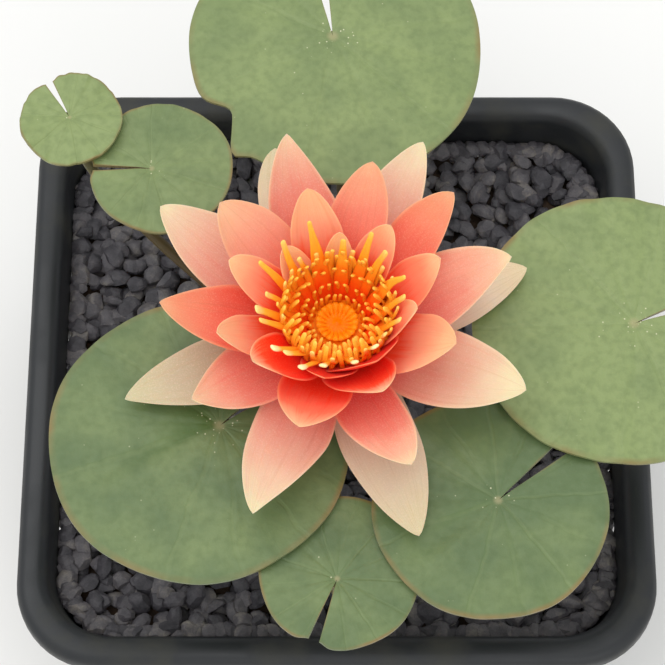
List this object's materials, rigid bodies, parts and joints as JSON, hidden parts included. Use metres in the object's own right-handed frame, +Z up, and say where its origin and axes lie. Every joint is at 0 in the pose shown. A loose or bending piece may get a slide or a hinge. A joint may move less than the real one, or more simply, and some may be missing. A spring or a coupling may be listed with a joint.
{
  "type": "dwarf water lily in a planting basket",
  "caption": "Dwarf hardy water lily with one open salmon flower over round floating leaves, rooted in a square slotted planting basket filled with soil and topped with dark gravel.",
  "frame": {"origin": "middle of the basket's underside, on the surface that it stands on", "axes": "+Z up. +X and +Y along the basket's sides, with the picture taken from -Y, looking down at about 66 degrees"},
  "size_m": [0.2154, 0.2286, 0.1972],
  "materials": {
    "basket_plastic": "matte",
    "aquatic_soil": "matte",
    "slate_gravel": "satin",
    "rootstock_skin": "matte",
    "leaf_green": "satin",
    "leaf_stem_green": "satin",
    "flower_stem_green": "satin",
    "sepal_cream": "satin",
    "outer_petal_peach": "satin",
    "inner_petal_coral": "satin",
    "receptacle_green": "satin",
    "stamen_orange": "satin",
    "stigma_orange": "satin"
  },
  "bodies": {
    "root": {"basket": "basket_plastic", "soil": "aquatic_soil", "gravel": "slate_gravel", "rootstock": "rootstock_skin", "leaf_1": "leaf_green", "leaf_2": "leaf_green", "leaf_3": "leaf_green", "leaf_4": "leaf_green", "leaf_5": "leaf_green", "leaf_6": "leaf_green", "leaf_7": "leaf_green", "leaf_stem_1": "leaf_stem_green", "leaf_stem_2": "leaf_stem_green", "leaf_stem_3": "leaf_stem_green", "leaf_stem_4": "leaf_stem_green", "leaf_stem_5": "leaf_stem_green", "leaf_stem_6": "leaf_stem_green", "leaf_stem_7": "leaf_stem_green", "flower_stem": "flower_stem_green", "sepal_1": "sepal_cream", "sepal_2": "sepal_cream", "sepal_3": "sepal_cream", "sepal_4": "sepal_cream", "petal_a1": "outer_petal_peach", "petal_a2": "outer_petal_peach", "petal_a3": "outer_petal_peach", "petal_a4": "outer_petal_peach", "petal_b1": "outer_petal_peach", "petal_b2": "outer_petal_peach", "petal_b3": "outer_petal_peach", "petal_b4": "outer_petal_peach", "petal_c1": "inner_petal_coral", "petal_c2": "inner_petal_coral", "petal_c3": "inner_petal_coral", "petal_c4": "inner_petal_coral", "petal_c5": "inner_petal_coral", "petal_c6": "inner_petal_coral", "petal_d1": "inner_petal_coral", "petal_d2": "inner_petal_coral", "petal_d3": "inner_petal_coral", "petal_d4": "inner_petal_coral", "petal_d5": "inner_petal_coral", "petal_d6": "inner_petal_coral", "petal_d7": "inner_petal_coral", "petal_d8": "inner_petal_coral", "petal_e1": "inner_petal_coral", "petal_e2": "inner_petal_coral", "petal_e3": "inner_petal_coral", "receptacle": "receptacle_green", "stamens_1": "stamen_orange", "stamens_2": "stamen_orange", "stamens_3": "stamen_orange", "stamens_4": "stamen_orange", "stamens_5": "stamen_orange", "stamens_6": "stamen_orange", "stamens_7": "stamen_orange", "stigma_disc": "stigma_orange"}
  },
  "joints": []
}
